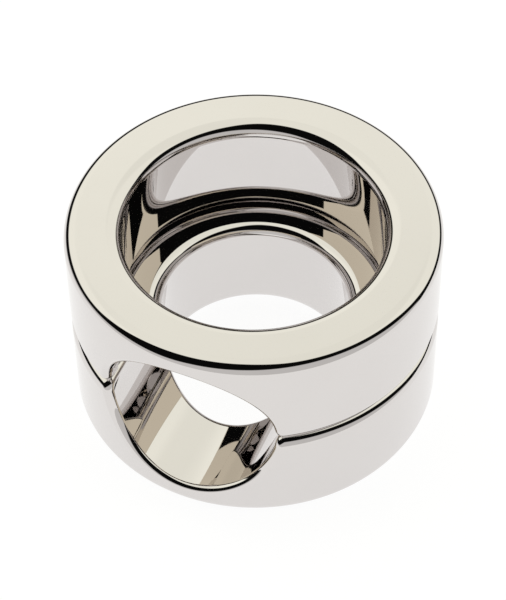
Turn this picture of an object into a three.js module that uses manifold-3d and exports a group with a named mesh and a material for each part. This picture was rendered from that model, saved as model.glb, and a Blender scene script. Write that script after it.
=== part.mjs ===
// Metal ring disentanglement puzzle: two polished rings stacked on one axis, with one round hole
// bored through their wall at the joint, and a split guide ring hidden between them.
// Millimetres, +Z up. The origin is at the centre of the underside, +Z is the rings' axis, and the
// cross hole opens towards -Y.

import * as THREE from 'three';
import { mergeVertices } from 'three/addons/utils/BufferGeometryUtils.js';
import Module from 'manifold-3d';

// Rings
const OUTER_RADIUS = 22.5;
const TOTAL_HEIGHT = 27.4;
const JOINT_HEIGHT = TOTAL_HEIGHT / 2; // height of the plane where the two rings meet
const JOINT_CLEARANCE = 0.1; // running clearance between the two rings
const UPPER_BORE_RADIUS = 15.7;
const LOWER_BORE_RADIUS = 11.55;
const EDGE_ROUND = 1.6; // rounding of the outer edges and of the lower bore's edges
const UPPER_BORE_ROUND = 1.8; // rounding of the upper bore's edges

// Cross hole, bored through the wall with its axis in the joint plane
const CROSS_HOLE_RADIUS = 10.5;

// Guide ring: a split ring that keeps the two rings on one axis
const GUIDE_MEAN_RADIUS = 18.95;
const GUIDE_WIDTH = 1.4;
const GUIDE_HALF_HEIGHT = 1.3;
const GUIDE_CLEARANCE = 0.3;
const GUIDE_WALL_TO_HOLE = 2.6; // metal left between the cross hole and the guide ring's groove

// Fineness of the round surfaces
const RING_SEGMENTS = 96;
const ROUND_SEGMENTS = 4;
const HOLE_SEGMENTS = 72;
const GUIDE_SEGMENTS = 60;

const LOWER_TOP = JOINT_HEIGHT - JOINT_CLEARANCE / 2;
const UPPER_BOTTOM = JOINT_HEIGHT + JOINT_CLEARANCE / 2;
const GUIDE_INNER_RADIUS = GUIDE_MEAN_RADIUS - GUIDE_WIDTH / 2;
const GUIDE_OUTER_RADIUS = GUIDE_MEAN_RADIUS + GUIDE_WIDTH / 2;
const GROOVE_INNER_RADIUS = GUIDE_INNER_RADIUS - GUIDE_CLEARANCE;
const GROOVE_OUTER_RADIUS = GUIDE_OUTER_RADIUS + GUIDE_CLEARANCE;
const GROOVE_DEPTH = GUIDE_HALF_HEIGHT + GUIDE_CLEARANCE;

const wasm = await Module();
wasm.setup();

/** A closed mesh's geometry as a solid that can be cut. */
function solidFrom(geometry) {
  const bare = geometry.clone();
  bare.deleteAttribute('normal');
  bare.deleteAttribute('uv');
  const merged = mergeVertices(bare, 1e-4);
  const vertProperties = new Float32Array(merged.attributes.position.array);
  const triVerts = new Uint32Array(merged.index.array);
  return new wasm.Manifold(new wasm.Mesh({ numProp: 3, vertProperties, triVerts }));
}

/** A cut solid as a geometry again. */
function geometryFrom(solid) {
  const { vertProperties, triVerts } = solid.getMesh();
  const geometry = new THREE.BufferGeometry();
  geometry.setAttribute('position', new THREE.BufferAttribute(vertProperties, 3));
  geometry.setIndex(new THREE.BufferAttribute(triVerts, 1));
  geometry.computeVertexNormals();
  return geometry;
}

/** Points of a quarter-round between two perpendicular edges, counter-clockwise about its centre. */
function quarterRound(radius, height, round, startAngle) {
  const points = [];
  for (let step = 0; step <= ROUND_SEGMENTS; step += 1) {
    const angle = startAngle + (step / ROUND_SEGMENTS) * (Math.PI / 2);
    points.push(new THREE.Vector2(radius + round * Math.cos(angle), height + round * Math.sin(angle)));
  }
  return points;
}

/** Turns a closed (radius, height) profile about the rings' axis. */
function turned(profile) {
  const closed = [...profile, profile[0].clone()];
  return new THREE.LatheGeometry(closed, RING_SEGMENTS).rotateX(Math.PI / 2);
}

/** The section of the lower ring: its four edges rounded. */
function lowerRingProfile() {
  return [
    ...quarterRound(OUTER_RADIUS - EDGE_ROUND, EDGE_ROUND, EDGE_ROUND, -Math.PI / 2),
    ...quarterRound(OUTER_RADIUS - EDGE_ROUND, LOWER_TOP - EDGE_ROUND, EDGE_ROUND, 0),
    ...quarterRound(LOWER_BORE_RADIUS + EDGE_ROUND, LOWER_TOP - EDGE_ROUND, EDGE_ROUND, Math.PI / 2),
    ...quarterRound(LOWER_BORE_RADIUS + EDGE_ROUND, EDGE_ROUND, EDGE_ROUND, Math.PI),
  ];
}

/** The section of the upper ring: its four edges rounded, with a groove right round its underside. */
function upperRingProfile() {
  const grooveTop = UPPER_BOTTOM + GROOVE_DEPTH;
  const boreRound = UPPER_BORE_RADIUS + UPPER_BORE_ROUND;
  return [
    new THREE.Vector2(GROOVE_INNER_RADIUS, UPPER_BOTTOM),
    new THREE.Vector2(GROOVE_INNER_RADIUS, grooveTop),
    new THREE.Vector2(GROOVE_OUTER_RADIUS, grooveTop),
    new THREE.Vector2(GROOVE_OUTER_RADIUS, UPPER_BOTTOM),
    ...quarterRound(OUTER_RADIUS - EDGE_ROUND, UPPER_BOTTOM + EDGE_ROUND, EDGE_ROUND, -Math.PI / 2),
    ...quarterRound(OUTER_RADIUS - EDGE_ROUND, TOTAL_HEIGHT - EDGE_ROUND, EDGE_ROUND, 0),
    ...quarterRound(boreRound, TOTAL_HEIGHT - UPPER_BORE_ROUND, UPPER_BORE_ROUND, Math.PI / 2),
    ...quarterRound(boreRound, UPPER_BOTTOM + UPPER_BORE_ROUND, UPPER_BORE_ROUND, Math.PI),
  ];
}

/** The cross hole's bore, from the rings' axis out past the wall towards -Y. */
function crossHoleSolid() {
  const length = OUTER_RADIUS + 5;
  const bore = new THREE.CylinderGeometry(CROSS_HOLE_RADIUS, CROSS_HOLE_RADIUS, length, HOLE_SEGMENTS);
  bore.translate(0, -length / 2, JOINT_HEIGHT);
  return solidFrom(bore);
}

/** Half the angle of the gap that a split ring of this end wall leaves about the cross hole. */
function gapHalfAngle(wallToHole) {
  return Math.asin((CROSS_HOLE_RADIUS + wallToHole) / GUIDE_MEAN_RADIUS);
}

/** A flat ring between two radii, open towards -Y by twice the half gap, lying on z = bottom. */
function splitRing(innerRadius, outerRadius, halfGap, bottom, height) {
  const start = -Math.PI / 2 + halfGap;
  const end = (3 * Math.PI) / 2 - halfGap;
  const outline = new THREE.Shape();
  outline.absarc(0, 0, outerRadius, start, end, false);
  outline.absarc(0, 0, innerRadius, end, start, true);
  outline.closePath();
  const options = { depth: height, bevelEnabled: false, curveSegments: GUIDE_SEGMENTS };
  return new THREE.ExtrudeGeometry(outline, options).translate(0, 0, bottom);
}

function lowerRing() {
  const halfGap = gapHalfAngle(GUIDE_WALL_TO_HOLE);
  const bottom = LOWER_TOP - GROOVE_DEPTH;
  const height = GROOVE_DEPTH + 1; // runs out past the top face
  const groove = splitRing(GROOVE_INNER_RADIUS, GROOVE_OUTER_RADIUS, halfGap, bottom, height);
  const blank = solidFrom(turned(lowerRingProfile()));
  return geometryFrom(blank.subtract(crossHoleSolid()).subtract(solidFrom(groove)));
}

function upperRing() {
  return geometryFrom(solidFrom(turned(upperRingProfile())).subtract(crossHoleSolid()));
}

function guideRing() {
  const halfGap = gapHalfAngle(GUIDE_WALL_TO_HOLE + 2 * GUIDE_CLEARANCE);
  const bottom = JOINT_HEIGHT - GUIDE_HALF_HEIGHT;
  return splitRing(GUIDE_INNER_RADIUS, GUIDE_OUTER_RADIUS, halfGap, bottom, 2 * GUIDE_HALF_HEIGHT);
}

function addPart(group, name, geometry, finish) {
  const mesh = new THREE.Mesh(geometry, new THREE.MeshStandardMaterial(finish));
  mesh.name = name;
  group.add(mesh);
}

const polishedNickel = { color: 0xdcd8cc, roughness: 0.04, metalness: 1 };
const springSteel = { color: 0x9a9a9c, roughness: 0.3, metalness: 1 };

const puzzle = new THREE.Group();
addPart(puzzle, 'lower_ring', lowerRing(), polishedNickel);
addPart(puzzle, 'guide_ring', guideRing(), springSteel);
addPart(puzzle, 'upper_ring', upperRing(), polishedNickel);

export default puzzle;
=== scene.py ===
import logging
import math
from dataclasses import dataclass
from enum import Enum
from typing import Callable

import bpy
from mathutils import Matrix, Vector


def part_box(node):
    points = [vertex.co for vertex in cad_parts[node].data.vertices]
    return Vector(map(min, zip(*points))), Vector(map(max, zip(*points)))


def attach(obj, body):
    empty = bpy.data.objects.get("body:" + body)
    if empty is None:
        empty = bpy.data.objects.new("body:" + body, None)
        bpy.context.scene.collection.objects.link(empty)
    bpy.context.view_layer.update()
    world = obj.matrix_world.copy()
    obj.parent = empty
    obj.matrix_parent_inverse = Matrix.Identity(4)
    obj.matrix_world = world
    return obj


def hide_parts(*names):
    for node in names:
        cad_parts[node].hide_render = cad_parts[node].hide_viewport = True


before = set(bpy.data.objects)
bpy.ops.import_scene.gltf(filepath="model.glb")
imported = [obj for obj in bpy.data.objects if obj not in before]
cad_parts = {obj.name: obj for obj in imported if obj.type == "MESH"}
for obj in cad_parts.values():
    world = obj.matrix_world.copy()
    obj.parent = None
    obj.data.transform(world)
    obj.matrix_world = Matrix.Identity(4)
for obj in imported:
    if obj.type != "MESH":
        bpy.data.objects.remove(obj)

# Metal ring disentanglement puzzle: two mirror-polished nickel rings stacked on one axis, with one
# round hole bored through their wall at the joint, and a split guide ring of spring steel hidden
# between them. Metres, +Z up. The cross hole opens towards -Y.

logging.basicConfig(level=logging.INFO, format="%(message)s")
log = logging.getLogger("ring_puzzle")

MM = 0.001
MERGE = 0.001 * MM  # vertices nearer than this are one
NO_LENGTH = 0.000001 * MM  # a length too short to divide by
SAME_WAY = 0.000001  # directions nearer than this angle, in radians, are one
FULL_TURN = 360  # degrees
HALF_TURN = 180
TRUE_NORMAL = "true_normal"  # the exact surface normal at each face corner, kept through the cuts

Colour = tuple[float, float, float]  # scene-linear
Edge = tuple[tuple[float, float], ...]  # azimuth and height in degrees, in order
Value = bpy.types.NodeSocket | float | tuple  # what feeds a socket
Skin = Callable[[float, float], tuple[Vector, Vector]]  # a place and its normal, from two shares


class Side(Enum):
    """Which way a ring's metal lies from the plane where the two rings meet."""

    LOWER = -1
    UPPER = 1


# ---------------------------------------------------------------------------------------------
# Working with meshes


def deselect_all() -> None:
    """Leave object mode's selection empty."""
    if bpy.context.object and bpy.context.object.mode != "OBJECT":
        bpy.ops.object.mode_set(mode="OBJECT")
    bpy.ops.object.select_all(action="DESELECT")


def make_active(obj: bpy.types.Object) -> None:
    """Select one object alone and make it active.

    Args:
        obj: The object.
    """
    deselect_all()
    obj.select_set(True)
    bpy.context.view_layer.objects.active = obj


def enter_edit(obj: bpy.types.Object, mode: str = "VERT") -> None:
    """Open one object in edit mode, with nothing selected.

    Args:
        obj: The mesh object to edit.
        mode: The selection mode, VERT, EDGE or FACE.
    """
    make_active(obj)
    bpy.ops.object.mode_set(mode="EDIT")
    bpy.ops.mesh.select_mode(type=mode)
    bpy.ops.mesh.select_all(action="DESELECT")


def leave_edit() -> None:
    """Go back to object mode."""
    bpy.ops.object.mode_set(mode="OBJECT")


def select_vertices(obj: bpy.types.Object, wanted: Callable[[Vector], bool]) -> None:
    """Select, in edit mode, the vertices whose place answers a test.

    Args:
        obj: The mesh object that is open in edit mode.
        wanted: The test on a vertex's place.
    """
    leave_edit()
    for vertex in obj.data.vertices:
        vertex.select = wanted(vertex.co)
    bpy.ops.object.mode_set(mode="EDIT")


def merge_and_turn_out(obj: bpy.types.Object) -> None:
    """Merge doubled vertices and turn every face outwards.

    Args:
        obj: The mesh object, closed once its doubles are merged.
    """
    enter_edit(obj)
    bpy.ops.mesh.select_all(action="SELECT")
    bpy.ops.mesh.remove_doubles(threshold=MERGE)
    bpy.ops.mesh.normals_make_consistent(inside=False)
    leave_edit()


def store_normals(obj: bpy.types.Object, rule: Callable[[Vector, Vector], Vector]) -> None:
    """Keep the exact normal at each face corner in an attribute.

    Args:
        obj: The mesh object.
        rule: Gives the normal for a vertex's place and its face's own normal.
    """
    mesh = obj.data
    attribute = mesh.attributes.new(TRUE_NORMAL, "FLOAT_VECTOR", "CORNER")
    for face in mesh.polygons:
        for corner in face.loop_indices:
            place = mesh.vertices[mesh.loops[corner].vertex_index].co
            attribute.data[corner].vector = rule(place, face.normal)


def apply_stored_normals(obj: bpy.types.Object) -> None:
    """Turn the kept normals into the mesh's own custom normals, and drop the attribute.

    Args:
        obj: The mesh object.
    """
    mesh = obj.data
    attribute = mesh.attributes[TRUE_NORMAL]
    normals = [Vector(item.vector).normalized() for item in attribute.data]
    mesh.attributes.remove(attribute)
    for face in mesh.polygons:
        face.use_smooth = True
        face.material_index = 0
    mesh.normals_split_custom_set(normals)


def cut(obj: bpy.types.Object, tool: bpy.types.Object) -> None:
    """Cut one solid out of another, and remove the cutting solid.

    Args:
        obj: The solid that is cut.
        tool: The cutting solid.
    """
    make_active(obj)
    modifier = obj.modifiers.new("cut", "BOOLEAN")
    modifier.operation = "DIFFERENCE"
    modifier.solver = "EXACT"
    modifier.object = tool
    bpy.ops.object.modifier_apply(modifier=modifier.name)
    bpy.data.objects.remove(tool)


def arc_between(start: Vector, end: Vector, share: float) -> Vector:
    """A unit vector on the great circle between two unit vectors.

    Args:
        start: The direction at share 0.
        end: The direction at share 1.
        share: How far to go.

    Returns:
        The direction between them.
    """
    angle = start.angle(end)
    if angle < SAME_WAY:
        return start.copy()
    return (start * math.sin((1 - share) * angle) + end * math.sin(share * angle)) / math.sin(angle)


# ---------------------------------------------------------------------------------------------
# Turned shapes


def flat_section(inner: float, outer: float, one_end: float, other_end: float) -> bpy.types.Object:
    """A flat rectangle in the plane Y = 0.

    Args:
        inner: Its radius nearest the axis.
        outer: Its radius farthest from the axis.
        one_end: Height of one end.
        other_end: Height of the other end.

    Returns:
        The rectangle.
    """
    deselect_all()
    middle = ((inner + outer) / 2, 0, (one_end + other_end) / 2)
    bpy.ops.mesh.primitive_plane_add(size=1, location=middle, rotation=(math.pi / 2, 0, 0))
    section = bpy.context.object
    section.scale = (outer - inner, abs(other_end - one_end), 1)
    bpy.ops.object.transform_apply(location=True, rotation=True, scale=True)
    return section


def turn_section(section: bpy.types.Object, steps: int, half_gap: float = 0.0) -> None:
    """Turn a flat section about the rings' axis, all round or short of a gap about -Y.

    Args:
        section: The flat section, in the plane Y = 0.
        steps: Steps of the turn.
        half_gap: Half the angle of the gap, or 0 for none.
    """
    all_round = half_gap == 0
    if not all_round:
        start = -math.pi / 2 - half_gap  # the turn runs clockwise from here
        section.rotation_euler = (0, 0, start)
        make_active(section)
        bpy.ops.object.transform_apply(location=False, rotation=True, scale=False)
    enter_edit(section, "FACE")
    bpy.ops.mesh.select_all(action="SELECT")
    if all_round:
        bpy.ops.mesh.delete(type="ONLY_FACE")
        bpy.ops.mesh.select_mode(type="EDGE")
        bpy.ops.mesh.select_all(action="SELECT")
    angle = 2 * (math.pi - half_gap)
    bpy.ops.mesh.spin(steps=steps, angle=angle, center=(0, 0, 0), axis=(0, 0, 1))
    leave_edit()
    merge_and_turn_out(section)


@dataclass
class TurnedSection:
    """A rounded rectangle, in radius and height, that is turned about the rings' axis.

    Args:
        inner: Bore radius.
        outer: Outer radius.
        bottom: Lowest height.
        top: Highest height.
        edge_round: Rounding of the outer edges.
        bore_round: Rounding of the bore's edges.
        side: Which way the metal lies from the joint.
    """

    inner: float
    outer: float
    bottom: float
    top: float
    edge_round: float
    bore_round: float
    side: Side

    ROUND_STEPS = 12
    TURN_STEPS = 384

    def rounding_near(self, radius: float) -> float:
        """The rounding of the section's corners nearest to a radius."""
        return self.bore_round if radius < (self.inner + self.outer) / 2 else self.edge_round

    def normal(self, place: Vector, _face_normal: Vector) -> Vector:
        """The exact normal of the turned surface at a place on it.

        Args:
            place: The place.
            _face_normal: The face's own normal, which isn't needed.

        Returns:
            The normal.
        """
        radius = math.hypot(place.x, place.y)
        rounding = self.rounding_near(radius)
        core_radius = min(max(radius, self.inner + rounding), self.outer - rounding)
        core_height = min(max(place.z, self.bottom + rounding), self.top - rounding)
        radial = (radius - core_radius) / radius
        return Vector((place.x * radial, place.y * radial, place.z - core_height)).normalized()

    def build(self, name: str) -> bpy.types.Object:
        """Turn the section into a closed ring.

        Args:
            name: The new object's name.

        Returns:
            The ring, with its exact normals kept.
        """
        ring = flat_section(self.inner, self.outer, self.bottom, self.top)
        ring.name = name
        corners = [vertex.co.copy() for vertex in ring.data.vertices]
        for corner in corners:
            self._round_corner(ring, corner)
        turn_section(ring, self.TURN_STEPS)
        store_normals(ring, self.normal)
        return ring

    def _round_corner(self, section: bpy.types.Object, corner: Vector) -> None:
        """Round one corner of the flat section by a vertex bevel.

        Args:
            section: The flat section.
            corner: The corner's place.
        """
        enter_edit(section)
        select_vertices(section, lambda place: (place - corner).length < MERGE)
        offset = self.rounding_near(corner.x)
        bpy.ops.mesh.bevel(offset=offset, segments=self.ROUND_STEPS, affect="VERTICES")
        leave_edit()


@dataclass
class CrossHole:
    """The half of the round cross hole that one ring has, with its rims rounded.

    A ball of the rim's rounding rolls inside the metal along the hole's wall, and touches the
    ring's outer wall, its bore and its joint face. What the ball can't reach is cut away.

    Args:
        radius: The hole's radius.
        axis_height: Height of the hole's axis.
        rim: Rounding of its rims.
        section: The section of the ring that it is cut through.
    """

    radius: float
    axis_height: float
    rim: float
    section: TurnedSection

    ROUND_STEPS = 10
    WALL_STEPS = 6
    ARC_STEPS = 168
    CROWDING = 0.35  # how much finer the arc's steps are towards its ends
    MARGIN = 4 * MM  # how far the cutting solid stands out of the metal
    APEX = 90 * MM  # how far off the cutting solid closes to a point

    def __post_init__(self) -> None:
        """Work out where the joint face lies from the hole's axis."""
        section = self.section
        self.sign = section.side.value
        self.joint_face = section.top if section.side is Side.LOWER else section.bottom
        self.below_axis = abs(self.joint_face - self.axis_height)
        reach = (self.rim + self.below_axis) / (self.radius + self.rim)
        self.end_angle = math.acos(reach)

    def _point(self, sideways: float, depth: float, into: float) -> Vector:
        """A place from its distance sideways, out along the hole, and into the metal."""
        return Vector((sideways, -depth, self.joint_face + self.sign * into))

    def _direction(self, sideways: float, depth: float, into: float) -> Vector:
        """A direction from its parts sideways, out along the hole, and into the metal."""
        return Vector((sideways, -depth, self.sign * into))

    def _ball(self, angle: float, outer: bool) -> tuple[Vector, Vector, Vector]:
        """Where the rolling ball is, and where it touches.

        Args:
            angle: The place round the hole, 0 at its deepest point.
            outer: Whether the ball is at the outer wall or at the bore.

        Returns:
            The ball's centre, the direction to the hole's wall and the direction to the ring's.
        """
        section = self.section
        sideways = (self.radius + self.rim) * math.sin(angle)
        into = (self.radius + self.rim) * math.cos(angle) - self.below_axis
        rounding = section.edge_round if outer else section.bore_round
        slack = rounding - self.rim
        rise = min(max(rounding - into, 0.0), slack)
        share = rise / slack if slack > NO_LENGTH else 0.0
        level = math.sqrt(max(0.0, 1 - share * share))
        if outer:
            ring_radius = section.outer - rounding + slack * level
        else:
            ring_radius = section.inner + rounding - slack * level
        depth = math.sqrt(ring_radius**2 - sideways**2)
        facing = (level if outer else -level) / ring_radius
        to_ring = self._direction(sideways * facing, depth * facing, -share)
        to_hole = self._direction(-math.sin(angle), 0, -math.cos(angle))
        return self._point(sideways, depth, into), to_hole, to_ring

    def _patch(self, columns: int, rows: int, skin: Skin) -> bpy.types.Object:
        """One sheet of the cutting solid's skin, made from a grid.

        Args:
            columns: Steps along the first direction.
            rows: Steps along the second.
            skin: Gives the place and the normal for two shares from 0 to 1.

        Returns:
            The sheet as an object, with its exact normals kept.
        """
        deselect_all()
        bpy.ops.mesh.primitive_grid_add(x_subdivisions=columns, y_subdivisions=rows, size=1)
        sheet = bpy.context.object
        mesh = sheet.data
        made = [skin(v.co.x + 0.5, v.co.y + 0.5) for v in mesh.vertices]
        for vertex, (place, _normal) in zip(mesh.vertices, made):
            vertex.co = place
        attribute = mesh.attributes.new(TRUE_NORMAL, "FLOAT_VECTOR", "CORNER")
        for loop, item in zip(mesh.loops, attribute.data):
            item.vector = made[loop.vertex_index][1]
        return sheet

    def _angle(self, share: float) -> float:
        """The angle round the hole at a share of the arc, with finer steps towards both ends."""
        place = 2 * share - 1
        return self.end_angle * place * (1 + self.CROWDING * (1 - place**2))

    def _rim_sheet(self, outer: bool) -> bpy.types.Object:
        """The rounded rim at the outer wall or at the bore.

        Args:
            outer: Whether it is the outer wall's.

        Returns:
            The sheet.
        """

        def skin(along: float, across: float) -> tuple[Vector, Vector]:
            """From the hole's wall over to the ring's."""
            centre, to_hole, to_ring = self._ball(self._angle(along), outer)
            direction = arc_between(to_hole, to_ring, across)
            return centre + self.rim * direction, direction

        return self._patch(self.ARC_STEPS, self.ROUND_STEPS, skin)

    def _run_out_sheet(self, outer: bool) -> bpy.types.Object:
        """The skin that runs on out of the metal from a rim.

        Args:
            outer: Whether it is the outer wall's.

        Returns:
            The sheet.
        """

        def skin(along: float, across: float) -> tuple[Vector, Vector]:
            """Straight out from the ring's wall."""
            centre, _to_hole, to_ring = self._ball(self._angle(along), outer)
            return centre + (self.rim + across * self.MARGIN) * to_ring, to_ring

        return self._patch(self.ARC_STEPS, 1, skin)

    def _wall_sheet(self) -> bpy.types.Object:
        """The hole's round wall, between its two rims.

        Returns:
            The sheet.
        """

        def skin(along: float, across: float) -> tuple[Vector, Vector]:
            """From the outer rim in to the bore's."""
            near, to_hole, _to_ring = self._ball(self._angle(along), True)
            far = self._ball(self._angle(along), False)[0]
            return near.lerp(far, across) + self.rim * to_hole, to_hole

        return self._patch(self.ARC_STEPS, self.WALL_STEPS, skin)

    def _lip_sheets(self, end: int) -> list[bpy.types.Object]:
        """The rounded edge between the hole's wall and the joint face, and its run-out.

        Args:
            end: Which of the two edges, -1 or 1.

        Returns:
            The two sheets.
        """
        away = self._direction(0, 0, -1)
        near, to_hole, _to_ring = self._ball(end * self.end_angle, True)
        far = self._ball(end * self.end_angle, False)[0]

        def lip(along: float, across: float) -> tuple[Vector, Vector]:
            """From the hole's wall over to the joint face."""
            direction = arc_between(to_hole, away, along)
            return near.lerp(far, across) + self.rim * direction, direction

        def run_out(along: float, across: float) -> tuple[Vector, Vector]:
            """Straight out from the joint face."""
            return near.lerp(far, across) + (self.rim + along * self.MARGIN) * away, away

        return [
            self._patch(self.ROUND_STEPS, self.WALL_STEPS, lip),
            self._patch(1, self.WALL_STEPS, run_out),
        ]

    def build(self) -> bpy.types.Object:
        """Join the skin's sheets and close them into the solid that is cut away.

        Returns:
            The cutting solid.
        """
        sheets = [self._rim_sheet(True), self._rim_sheet(False), self._wall_sheet()]
        sheets += [self._run_out_sheet(True), self._run_out_sheet(False)]
        sheets += [*self._lip_sheets(-1), *self._lip_sheets(1)]
        deselect_all()
        for sheet in sheets:
            sheet.select_set(True)
        bpy.context.view_layer.objects.active = sheets[0]
        bpy.ops.object.join()
        tool = bpy.context.object
        enter_edit(tool)
        bpy.ops.mesh.select_all(action="SELECT")
        bpy.ops.mesh.remove_doubles(threshold=MERGE)
        bpy.ops.mesh.select_all(action="DESELECT")
        bpy.ops.mesh.select_non_manifold(
            use_wire=False, use_multi_face=False, use_non_contiguous=False
        )
        far_off = {"value": (0, 0, -self.sign * self.APEX)}
        bpy.ops.mesh.extrude_region_move(TRANSFORM_OT_translate=far_off)
        bpy.ops.mesh.merge(type="CENTER")
        leave_edit()
        merge_and_turn_out(tool)
        return tool


# ---------------------------------------------------------------------------------------------
# The pieces


@dataclass
class GuideGroove:
    """The groove in a joint face that the guide ring sits in.

    Args:
        inner: Inner radius.
        outer: Outer radius.
        deep: The height of its floor.
        open_end: A height outside the metal that the groove runs out to.
        half_gap: Half the angle about -Y where the groove is left out, or 0 for a full ring.
    """

    inner: float
    outer: float
    deep: float
    open_end: float
    half_gap: float

    STEPS = 240
    LEVEL = 0.5  # a face whose normal rises more than this is the groove's floor or roof
    ROUND_WALL = 0.7  # one whose normal points more than this along the radius is a round wall

    @staticmethod
    def _normal(place: Vector, face_normal: Vector) -> Vector:
        """The groove's normals in the ring that is cut: against its own solid's.

        Args:
            place: A place on the groove's solid.
            face_normal: The normal of the solid's face there.

        Returns:
            The normal.
        """
        if abs(face_normal.z) > GuideGroove.LEVEL:
            return Vector((0, 0, -math.copysign(1, face_normal.z)))
        radial = Vector((place.x, place.y, 0)).normalized()
        along = face_normal.dot(radial)
        if abs(along) > GuideGroove.ROUND_WALL:
            return radial * -math.copysign(1, along)
        return -face_normal

    def build(self) -> bpy.types.Object:
        """Turn the groove's section into the solid that is cut away.

        Returns:
            The cutting solid.
        """
        section = flat_section(self.inner, self.outer, self.deep, self.open_end)
        turn_section(section, self.STEPS, self.half_gap)
        store_normals(section, self._normal)
        return section


@dataclass
class PuzzleSizes:
    """The puzzle's own sizes in metres; what the frame gives is read from it.

    Args:
        upper_bore: Radius of the upper ring's bore.
        lower_bore: Radius of the lower ring's bore.
        edge_round: Rounding of the outer edges and of the lower bore's.
        upper_bore_round: Rounding of the upper bore's edges.
        cross_hole: Radius of the cross hole.
        cross_hole_rim: Rounding of the cross hole's rims.
        guide_clearance: Room round the guide ring in its grooves.
        guide_wall: Metal between the cross hole and the end of the lower groove.
    """

    upper_bore: float = 15.7 * MM
    lower_bore: float = 11.55 * MM
    edge_round: float = 1.6 * MM
    upper_bore_round: float = 1.8 * MM
    cross_hole: float = 10.5 * MM
    cross_hole_rim: float = 0.85 * MM
    guide_clearance: float = 0.3 * MM
    guide_wall: float = 2.6 * MM

    def __post_init__(self) -> None:
        """Read the rings' and the guide ring's places from the frame."""
        self.lower_low, self.lower_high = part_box("lower_ring")
        self.upper_low, self.upper_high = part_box("upper_ring")
        self.guide_low, self.guide_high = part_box("guide_ring")
        self.joint_height = (self.lower_high.z + self.upper_low.z) / 2
        self.guide_outer = self.guide_high.x
        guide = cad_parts["guide_ring"].data
        self.guide_inner = min(math.hypot(v.co.x, v.co.y) for v in guide.vertices)

    @property
    def guide_mean(self) -> float:
        """Mean radius of the guide ring."""
        return (self.guide_inner + self.guide_outer) / 2


@dataclass
class RingHalf:
    """One of the two polished rings, with its half of the cross hole and its guide groove.

    Args:
        side: Which ring it is.
        sizes: The puzzle's sizes.
        finish: The finish of its metal.
    """

    side: Side
    sizes: PuzzleSizes
    finish: "PolishedNickel"

    @property
    def node(self) -> str:
        """The name of the CAD node that the ring stands for."""
        return "lower_ring" if self.side is Side.LOWER else "upper_ring"

    def section(self) -> TurnedSection:
        """The ring's section.

        Returns:
            The section, from the frame's box of the ring.
        """
        sizes = self.sizes
        low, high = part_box(self.node)
        lower = self.side is Side.LOWER
        bore = sizes.lower_bore if lower else sizes.upper_bore
        bore_round = sizes.edge_round if lower else sizes.upper_bore_round
        return TurnedSection(bore, high.x, low.z, high.z, sizes.edge_round, bore_round, self.side)

    def groove(self) -> GuideGroove:
        """The groove that the guide ring sits in.

        Returns:
            The upper ring's groove, all round, or the lower ring's, short of the cross hole.
        """
        sizes = self.sizes
        room = sizes.guide_clearance
        inner = sizes.guide_inner - room
        outer = sizes.guide_outer + room
        if self.side is Side.UPPER:
            return GuideGroove(inner, outer, sizes.guide_high.z + room, sizes.upper_low.z - MM, 0)
        reach = (sizes.cross_hole + sizes.guide_wall) / sizes.guide_mean
        deep = sizes.guide_low.z - room
        return GuideGroove(inner, outer, deep, sizes.lower_high.z + MM, math.asin(reach))

    def build(self) -> bpy.types.Object:
        """Turn, bore and groove the ring, and dress it.

        Returns:
            The finished ring.
        """
        sizes = self.sizes
        section = self.section()
        ring = section.build(f"polished_{self.node}")
        hole = CrossHole(sizes.cross_hole, sizes.joint_height, sizes.cross_hole_rim, section)
        cut(ring, self.groove().build())
        cut(ring, hole.build())
        apply_stored_normals(ring)
        self.finish.dress(ring)
        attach(ring, "lower" if self.side is Side.LOWER else "upper")
        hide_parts(self.node)
        log.info("%s: %d faces", ring.name, len(ring.data.polygons))
        return ring


@dataclass
class GuideRing:
    """The split guide ring between the two rings.

    Args:
        sizes: The puzzle's sizes.
        finish: The finish of its steel.
        edge_round: Rounding of its long edges.
    """

    sizes: PuzzleSizes
    finish: "SpringSteel"
    edge_round: float = 0.25 * MM

    STEPS = 180
    ROUND_STEPS = 4
    SMOOTH_ANGLE = math.radians(35)

    def build(self) -> bpy.types.Object:
        """Turn the guide ring, and dress it.

        Returns:
            The finished ring.
        """
        sizes = self.sizes
        low, high = sizes.guide_low.z, sizes.guide_high.z
        end = sizes.cross_hole + sizes.guide_wall + 2 * sizes.guide_clearance
        ring = flat_section(sizes.guide_inner, sizes.guide_outer, low, high)
        ring.name = "split_guide_ring"
        enter_edit(ring)
        bpy.ops.mesh.select_all(action="SELECT")
        bpy.ops.mesh.bevel(offset=self.edge_round, segments=self.ROUND_STEPS, affect="VERTICES")
        leave_edit()
        turn_section(ring, self.STEPS, math.asin(end / sizes.guide_mean))
        make_active(ring)
        bpy.ops.object.shade_smooth_by_angle(angle=self.SMOOTH_ANGLE)
        self.finish.dress(ring)
        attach(ring, "guide")
        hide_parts("guide_ring")
        log.info("%s: %d faces", ring.name, len(ring.data.polygons))
        return ring


# ---------------------------------------------------------------------------------------------
# Finishes


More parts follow.
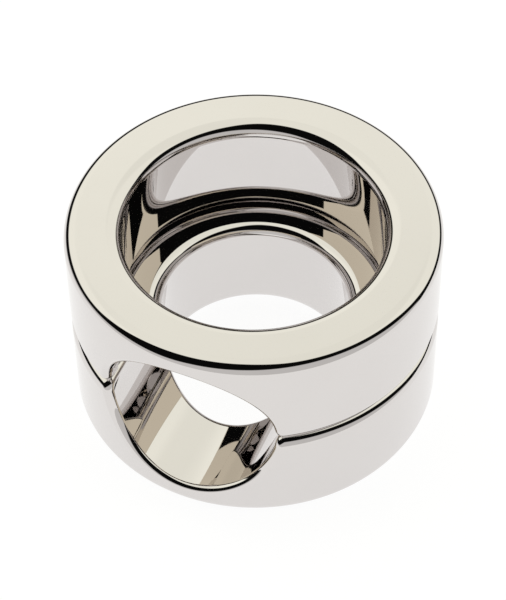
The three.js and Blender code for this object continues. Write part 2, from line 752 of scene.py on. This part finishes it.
class NodeDesk:
    """Adds nodes to a tree and links them, from left to right."""

    def __init__(self, tree: bpy.types.NodeTree) -> None:
        """Start with an empty tree."""
        self.tree = tree
        tree.nodes.clear()
        self.column = 0

    def add(self, kind: str, settings: dict | None = None, **inputs: Value) -> bpy.types.Node:
        """Add a node.

        Args:
            kind: The node's type, without its ShaderNode beginning.
            settings: Its own properties.
            **inputs: Its sockets by name, with _ for a space, or by number after an i. Each is a
                value, or a socket to link.

        Returns:
            The node.
        """
        prefix = "" if kind.startswith(("Node", "Shader")) else "ShaderNode"
        node = self.tree.nodes.new(prefix + kind)
        node.location = (self.column * 200, 0)
        self.column += 1
        for key, value in (settings or {}).items():
            setattr(node, key, value)
        for key, value in inputs.items():
            numbered = key[0] == "i" and key[1:].isdigit()
            self.feed(node.inputs[int(key[1:]) if numbered else key.replace("_", " ")], value)
        return node

    def feed(self, socket: bpy.types.NodeSocket, value: Value) -> None:
        """Link a socket into another, or set it.

        Args:
            socket: The socket that is fed.
            value: A value, or the socket to link.
        """
        if isinstance(value, bpy.types.NodeSocket):
            self.tree.links.new(value, socket)
        else:
            socket.default_value = value

    def math(
        self, operation: str, first: Value, second: Value = 0.0, third: Value = 0.0
    ) -> bpy.types.NodeSocket:
        """A Math node's result.

        Args:
            operation: The node's operation.
            first: Its first value or socket.
            second: Its second.
            third: Its third.

        Returns:
            The result.
        """
        node = self.add("Math", {"operation": operation}, i0=first, i1=second, i2=third)
        return node.outputs[0]

    def between(
        self,
        value: bpy.types.NodeSocket,
        given: tuple[float, float],
        wanted: tuple[float, float] = (0.0, 1.0),
    ) -> bpy.types.NodeSocket:
        """A value mapped smoothly from one range to another, and held at its ends.

        Args:
            value: The value to map.
            given: The range that it is read in.
            wanted: The range that it is mapped to.

        Returns:
            The mapped value.
        """
        node = self.add(
            "MapRange",
            {"interpolation_type": "SMOOTHSTEP"},
            Value=value,
            From_Min=given[0],
            From_Max=given[1],
            To_Min=wanted[0],
            To_Max=wanted[1],
        )
        return node.outputs["Result"]

    def mix(self, share: Value, first: Value, second: Value) -> bpy.types.NodeSocket:
        """Two colours mixed.

        Args:
            share: How much of the second there is.
            first: The first colour.
            second: The second colour.

        Returns:
            The mixed colour.
        """
        node = self.add("Mix", {"data_type": "RGBA"})
        self.feed(node.inputs[0], share)
        self.feed(node.inputs[6], first)
        self.feed(node.inputs[7], second)
        return node.outputs[2]


HAIRLINE_TURN = (0.35, 0.2, 0.6)  # radians
HAIRLINE_STRETCH = (1.0, 0.05, 0.05)
HAIRLINE_RANGE = (0.64, 0.74)  # the noise's range over which a hairline fades in
HAZE_RANGE = (0.35, 0.75)


def polish_marks_group() -> bpy.types.NodeTree:
    """What handling and polishing leave on bright metal, as a shader node group.

    Returns:
        The group: Vector, Haze Size, Hairline Size and Wave Size in; Haze, Hairlines and Waves out.
    """
    name = "polish_marks"
    if name in bpy.data.node_groups:
        return bpy.data.node_groups[name]
    group = bpy.data.node_groups.new(name, "ShaderNodeTree")
    group.interface.new_socket("Vector", in_out="INPUT", socket_type="NodeSocketVector")
    for socket in ("Haze Size", "Hairline Size", "Wave Size"):
        group.interface.new_socket(socket, in_out="INPUT", socket_type="NodeSocketFloat")
    for socket in ("Haze", "Hairlines", "Waves"):
        group.interface.new_socket(socket, in_out="OUTPUT", socket_type="NodeSocketFloat")
    desk = NodeDesk(group)
    given = desk.add("NodeGroupInput").outputs
    place = given["Vector"]
    haze = desk.add("TexNoise", Vector=place, Scale=given["Haze Size"], Detail=4.0, Roughness=0.55)
    drawn_out = desk.add("Mapping", Vector=place, Rotation=HAIRLINE_TURN, Scale=HAIRLINE_STRETCH)
    lines = desk.add(
        "TexNoise", Vector=drawn_out.outputs[0], Scale=given["Hairline Size"], Detail=2.0
    )
    waves = desk.add("TexNoise", Vector=place, Scale=given["Wave Size"], Detail=1.0)
    hairlines = desk.between(lines.outputs[0], HAIRLINE_RANGE)
    desk.add("NodeGroupOutput", Haze=haze.outputs[0], Hairlines=hairlines, Waves=waves.outputs[0])
    return group


@dataclass(frozen=True)
class MetalFinish:
    """A bright metal, with its polishing marks.

    Args:
        name: The material's name.
        tint: Its reflected colour.
        tint_shadowed: The colour where the haze lies.
        roughness: Its least roughness.
        haze_roughness: Roughness that the haze adds.
        hairline_roughness: Roughness that the hairlines add.
        relief: Height of its waviness, in metres.
        haze_size: Scale of the haze.
        hairline_size: Scale of the hairlines.
        wave_size: Scale of the waviness.
    """

    name: str
    tint: Colour
    tint_shadowed: Colour
    roughness: float
    haze_roughness: float
    hairline_roughness: float
    relief: float
    haze_size: float = 90.0
    hairline_size: float = 900.0
    wave_size: float = 130.0

    def dress(self, piece: bpy.types.Object) -> None:
        """Give a piece this finish."""
        piece.data.materials.clear()
        piece.data.materials.append(self.material())

    def material(self) -> bpy.types.Material:
        """The finish's material, made once.

        Returns:
            The material, or the one made before for another piece.
        """
        if self.name in bpy.data.materials:
            return bpy.data.materials[self.name]
        material = bpy.data.materials.new(self.name)
        material.use_nodes = True
        desk = NodeDesk(material.node_tree)
        place = desk.add("TexCoord").outputs["Object"]
        marks = desk.add(
            "Group",
            {"node_tree": polish_marks_group()},
            Vector=place,
            Haze_Size=self.haze_size,
            Hairline_Size=self.hairline_size,
            Wave_Size=self.wave_size,
        ).outputs
        haze = desk.between(marks["Haze"], HAZE_RANGE)
        hazy = desk.math("MULTIPLY_ADD", haze, self.haze_roughness, self.roughness)
        rough = desk.math("MULTIPLY_ADD", marks["Hairlines"], self.hairline_roughness, hazy)
        colour = desk.mix(haze, (*self.tint, 1), (*self.tint_shadowed, 1))
        bump = desk.add("Bump", Strength=1.0, Distance=self.relief, Height=marks["Waves"])
        metal = desk.add("BsdfPrincipled", Base_Color=colour, Roughness=rough, Metallic=1.0)
        desk.feed(metal.inputs["Normal"], bump.outputs[0])
        desk.add("OutputMaterial", Surface=metal.outputs[0])
        return material


@dataclass(frozen=True)
class PolishedNickel(MetalFinish):
    """Mirror-polished nickel plate."""

    name: str = "mirror_polished_nickel"
    tint: Colour = (0.714, 0.688, 0.674)
    tint_shadowed: Colour = (0.704, 0.678, 0.664)
    roughness: float = 0.024
    haze_roughness: float = 0.012
    hairline_roughness: float = 0.02
    relief: float = 0.0008 * MM


@dataclass(frozen=True)
class SpringSteel(MetalFinish):
    """Ground spring steel."""

    name: str = "ground_spring_steel"
    tint: Colour = (0.5, 0.5, 0.51)
    tint_shadowed: Colour = (0.42, 0.42, 0.43)
    roughness: float = 0.28
    haze_roughness: float = 0.12
    hairline_roughness: float = 0.15
    relief: float = 0.01 * MM
    hairline_size: float = 2500.0


# ---------------------------------------------------------------------------------------------
# The studio


@dataclass
class Direction:
    """The direction that a light ray comes from, as sockets of the world's nodes.

    Args:
        share: Its azimuth, as a share of a full turn.
        height: Its height above the nadir, as a share of half a turn.
        rise: Its height above the horizon, in radians.
        sideways: Its part towards the viewer's right.
    """

    share: bpy.types.NodeSocket
    height: bpy.types.NodeSocket
    rise: bpy.types.NodeSocket
    sideways: bpy.types.NodeSocket


@dataclass
class Studio:
    """A pale table, a soft tent of light with a dark gap towards the viewer, and the camera.

    Angles are in degrees. Azimuths count from the viewer's side, to the viewer's right.

    Args:
        target: The point on the rings' axis that the camera is aimed at.
        turn: How far the viewer stands round from the cross hole's axis.
        height_angle: Height of the viewer above the horizon.
        distance: Distance of the camera from the target.
        lens: Focal length in millimetres, on a 36 mm sensor.
        roll: How far the camera is tipped about its own axis.
        shift: The camera's shift.
        table_radius: Radius of the lit table top.
        tent_edge: Azimuth and height of the tent's lower edge, in order.
        gap_edge: Azimuth and height of the dark gap's lower edge, in order.
        deep_tent_edge: The tent's edge as the bores' and the hole's inner reflections see it.
        deep_gap_edge: The gap's edge as they see it.
        tent_light: Colour of the tent.
        deep_light: Colour of the tent in the inner reflections.
        low_light: Colour of the wall below the dark gap.
        gap_light: Colour of the dark gap.
        edge_softness: Half the width of the edges' fading.
        fading_heights: Heights between which the tent fades.
        fading: Its brightness at and below the lower of them, and at and above the upper.
        side_spread: How far to each side the tent's brightness changes, as a direction's part.
        side_fading: Its brightness to the viewer's left and right.
        table_light: Brightness of the table top.
        paper_grey: The table top's own grey.
        paper_return: Light that the grey gives back, which the table top's own light leaves out.
    """

    target: Vector
    turn: float = 23.6
    height_angle: float = 49.04
    distance: float = 0.2785
    lens: float = 136.45
    roll: float = -1.04
    shift: tuple[float, float] = (-0.0030, -0.0039)
    table_radius: float = 0.115
    tent_edge: Edge = (
        (-180, 15), (-116, 13), (-97, 14), (-82, 30), (-70, 52), (-55, 65), (-30, 74), (0, 74),
        (30, 62), (58, 48), (78, 34), (92, 16), (105, 5), (130, 4), (180, 15),
    )
    gap_edge: Edge = (
        (-180, -14), (-97, -6), (-70, 1), (-50, 4), (-28, 18), (0, 28), (30, 29), (55, 20), (76, 6),
        (90, -6), (104, -20), (130, -12), (180, -14),
    )
    deep_tent_edge: Edge = (
        (-180, 22), (-72, 22), (-60, 76), (0, 78), (90, 76), (100, 22), (180, 22),
    )
    deep_gap_edge: Edge = ((-180, 22), (0, 22), (180, 22))
    tent_light: Colour = (1.115, 1.112, 0.995)
    deep_light: Colour = (0.94, 0.87, 0.7)
    low_light: Colour = (0.68, 0.67, 0.66)
    gap_light: Colour = (0.004, 0.004, 0.004)
    edge_softness: float = 2.5
    fading_heights: tuple[float, float] = (43, 53)
    fading: tuple[float, float] = (1.01, 0.94)
    side_spread: float = 0.12
    side_fading: tuple[float, float] = (1.01, 0.97)
    table_light: float = 1.02
    paper_grey: float = 0.15
    paper_return: float = 0.1

    SENSOR_WIDTH = 36
    TABLE_STEPS = 128
    SECOND_REFLECTION = 2.5  # ray depth: what is reflected once reads 2, and twice 3

    def build(self) -> None:
        """Set the table, the light and the camera."""
        self.build_camera()
        self.build_table()
        self.build_world()
        bpy.context.scene.view_settings.view_transform = "Standard"

    def build_camera(self) -> None:
        """Aim the camera at the puzzle from the viewer's side."""
        data = bpy.data.cameras.new("viewer")
        data.lens = self.lens
        data.sensor_width = self.SENSOR_WIDTH
        data.shift_x, data.shift_y = self.shift
        data.clip_start = 10 * MM
        camera = bpy.data.objects.new("viewer", data)
        bpy.context.scene.collection.objects.link(camera)
        azimuth = math.radians(-90 + self.turn)
        rise = math.radians(self.height_angle)
        level = math.cos(rise)
        away = Vector((math.cos(azimuth) * level, math.sin(azimuth) * level, math.sin(rise)))
        camera.location = self.target + away * self.distance
        facing = (-away).to_track_quat("-Z", "Y").to_euler()
        facing.rotate_axis("Z", math.radians(self.roll))
        camera.rotation_euler = facing
        bpy.context.scene.camera = camera

    def build_table(self) -> None:
        """Lay the pale round table top that the puzzle stands on."""
        deselect_all()
        bpy.ops.mesh.primitive_circle_add(
            vertices=self.TABLE_STEPS, radius=self.table_radius, fill_type="NGON"
        )
        table = bpy.context.object
        table.name = "table_top"
        material = bpy.data.materials.new("white_table")
        material.use_nodes = True
        desk = NodeDesk(material.node_tree)
        grey = self.paper_grey
        paper = desk.add(
            "BsdfPrincipled",
            Base_Color=(grey, grey, grey, 1),
            Roughness=0.9,
            Specular_IOR_Level=0.0,
            Emission_Color=(1, 1, 1, 1),
            Emission_Strength=self.table_light - self.paper_return,
        )
        desk.add("OutputMaterial", Surface=paper.outputs[0])
        table.data.materials.append(material)

    def _above(self, desk: NodeDesk, way: Direction, edge: Edge) -> bpy.types.NodeSocket:
        """How far a direction is above an edge, from 0 below it to 1 above it.

        Args:
            desk: The world's nodes.
            way: The direction.
            edge: The edge.

        Returns:
            The share, which rises softly across the edge.
        """
        curve = desk.add("FloatCurve", Value=way.share)
        line = curve.mapping.curves[0]
        while len(line.points) < len(edge):
            line.points.new(0.5, 0.5)
        for point, (azimuth, height) in zip(line.points, edge):
            point.location = (azimuth / FULL_TURN + 0.5, height / HALF_TURN + 0.5)
        curve.mapping.update()
        soft = self.edge_softness / HALF_TURN
        return desk.between(desk.math("SUBTRACT", way.height, curve.outputs[0]), (-soft, soft))

    def _light(
        self, desk: NodeDesk, way: Direction, tent_edge: Edge, gap_edge: Edge, tent: Colour
    ) -> bpy.types.NodeSocket:
        """The light that comes from each direction.

        Args:
            desk: The world's nodes.
            way: The direction.
            tent_edge: The tent's lower edge.
            gap_edge: The dark gap's lower edge.
            tent: Colour of the tent.

        Returns:
            The colour of the light.
        """
        in_tent = self._above(desk, way, tent_edge)
        in_gap = self._above(desk, way, gap_edge)
        front = desk.mix(in_gap, (*self.low_light, 1), (*self.gap_light, 1))
        return desk.mix(in_tent, front, (*tent, 1))

    def _direction(self, desk: NodeDesk) -> Direction:
        """The direction that the light is asked for, turned so that the viewer is at +X.

        Args:
            desk: The world's nodes.

        Returns:
            The direction.
        """
        given = desk.add("TexCoord").outputs["Generated"]
        turn = (0, 0, math.radians(90 - self.turn))
        turned = desk.add("Mapping", {"vector_type": "POINT"}, Vector=given, Rotation=turn)
        parts = desk.add("SeparateXYZ", Vector=turned.outputs[0]).outputs
        azimuth = desk.math("ARCTAN2", parts["Y"], parts["X"])
        rise = desk.math("ARCSINE", parts["Z"])
        return Direction(
            share=desk.math("MULTIPLY_ADD", azimuth, 0.5 / math.pi, 0.5),
            height=desk.math("MULTIPLY_ADD", rise, 1 / math.pi, 0.5),
            rise=rise,
            sideways=parts["Y"],
        )

    def _brightness(self, desk: NodeDesk, way: Direction) -> bpy.types.NodeSocket:
        """How the light fades with height and from left to right.

        Args:
            desk: The world's nodes.
            way: The direction.

        Returns:
            The brightness.
        """
        low, high = self.fading_heights
        upward = desk.between(way.rise, (math.radians(low), math.radians(high)), self.fading)
        across = (-self.side_spread, self.side_spread)
        return desk.math("MULTIPLY", upward, desk.between(way.sideways, across, self.side_fading))

    def build_world(self) -> None:
        """Hang the soft tent of light, with its dark gap towards the viewer."""
        world = bpy.data.worlds.new("light_tent")
        bpy.context.scene.world = world
        world.use_nodes = True
        desk = NodeDesk(world.node_tree)
        way = self._direction(desk)
        first = self._light(desk, way, self.tent_edge, self.gap_edge, self.tent_light)
        deep = self._light(desk, way, self.deep_tent_edge, self.deep_gap_edge, self.deep_light)
        path = desk.add("LightPath").outputs
        is_deep = desk.math("GREATER_THAN", path["Ray Depth"], self.SECOND_REFLECTION)
        light = desk.mix(is_deep, first, deep)
        lamp = desk.add("Background", Color=light, Strength=self._brightness(desk, way))
        plain = desk.add("Background", Color=(1, 1, 1, 1), Strength=self.table_light)
        seen = path["Is Camera Ray"]
        chosen = desk.add("MixShader", Fac=seen, i1=lamp.outputs[0], i2=plain.outputs[0])
        desk.add("OutputWorld", Surface=chosen.outputs[0])


def main() -> None:
    """Build the studio and every piece of the puzzle."""
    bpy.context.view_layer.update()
    sizes = PuzzleSizes()
    middle = Vector((0, 0, (sizes.lower_low.z + sizes.upper_high.z) / 2))
    nickel = PolishedNickel()
    Studio(target=middle).build()
    RingHalf(Side.LOWER, sizes, nickel).build()
    RingHalf(Side.UPPER, sizes, nickel).build()
    GuideRing(sizes, SpringSteel()).build()
    deselect_all()


if __name__ == "__main__":
    main()
